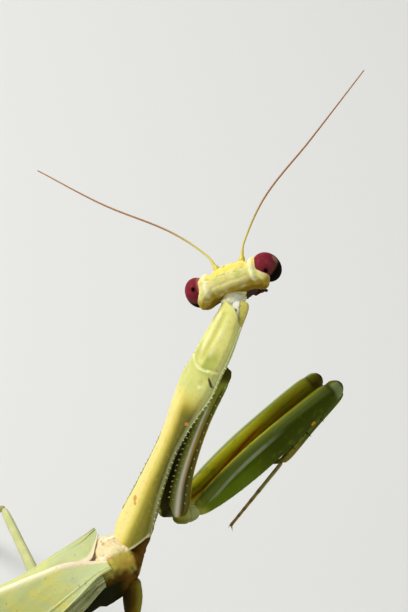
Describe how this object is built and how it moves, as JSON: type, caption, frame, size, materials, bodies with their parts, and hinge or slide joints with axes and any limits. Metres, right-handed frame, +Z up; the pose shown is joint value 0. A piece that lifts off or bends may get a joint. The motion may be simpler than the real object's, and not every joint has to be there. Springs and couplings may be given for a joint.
{
  "type": "praying mantis",
  "caption": "Life-size praying mantis standing on four walking legs, the prothorax raised, the forelegs folded together and the head turned to its left.",
  "frame": {"origin": "on the floor, under the middle of the whole animal", "axes": "+Z up; the animal faces -Y, so +Y runs from head to tail and +X is its left side"},
  "size_m": [0.0618, 0.0678, 0.0502],
  "materials": {
    "head_cream": "satin, cream yellow",
    "eye_maroon": "glossy, maroon above and brown below",
    "mouth_brown": "satin, dark brown",
    "antenna_ochre": "satin, green at the base and ochre outwards",
    "neck_membrane": "soft matt, whitish",
    "pronotum_yellow": "satin, yellow green with whitish rims",
    "thorax_olive": "satin, olive and cream",
    "coxa_green": "satin, green with a whitish stripe",
    "femur_green": "glossy, deep green",
    "tibia_olive": "glossy, olive",
    "tarsus_brown": "satin, brown",
    "leg_green": "satin, pale green",
    "wing_green": "satin, pale green with fine veins",
    "hindwing_pale": "satin, pale, pleated",
    "abdomen_green": "satin, yellow green"
  },
  "bodies": {
    "root": {"head": "head_cream", "eye_left": "eye_maroon", "antenna_left": "antenna_ochre", "eye_right": "eye_maroon", "antenna_right": "antenna_ochre", "mouthparts": "mouth_brown", "prothorax": "pronotum_yellow", "neck": "neck_membrane", "mesothorax": "thorax_olive", "metathorax": "thorax_olive", "abdomen_1": "abdomen_green", "abdomen_2": "abdomen_green", "abdomen_3": "abdomen_green", "abdomen_4": "abdomen_green", "abdomen_5": "abdomen_green", "abdomen_6": "abdomen_green", "cercus_left": "abdomen_green", "cercus_right": "abdomen_green", "tegmen_right": "wing_green", "tegmen_left": "wing_green", "hindwing_left": "hindwing_pale", "hindwing_right": "hindwing_pale", "foreleg_left_coxa": "coxa_green", "foreleg_left_trochanter": "coxa_green", "foreleg_left_femur": "femur_green", "foreleg_left_tibia": "tibia_olive", "foreleg_left_tarsus": "tarsus_brown", "foreleg_right_coxa": "coxa_green", "foreleg_right_trochanter": "coxa_green", "foreleg_right_femur": "femur_green", "foreleg_right_tibia": "tibia_olive", "foreleg_right_tarsus": "tarsus_brown", "midleg_left_coxa": "thorax_olive", "midleg_left_femur": "leg_green", "midleg_left_tibia": "leg_green", "midleg_left_tarsus": "tarsus_brown", "midleg_right_coxa": "thorax_olive", "midleg_right_femur": "leg_green", "midleg_right_tibia": "leg_green", "midleg_right_tarsus": "tarsus_brown", "hindleg_left_coxa": "thorax_olive", "hindleg_left_femur": "leg_green", "hindleg_left_tibia": "leg_green", "hindleg_left_tarsus": "tarsus_brown", "hindleg_right_coxa": "thorax_olive", "hindleg_right_femur": "leg_green", "hindleg_right_tibia": "leg_green", "hindleg_right_tarsus": "tarsus_brown"}
  },
  "joints": []
}
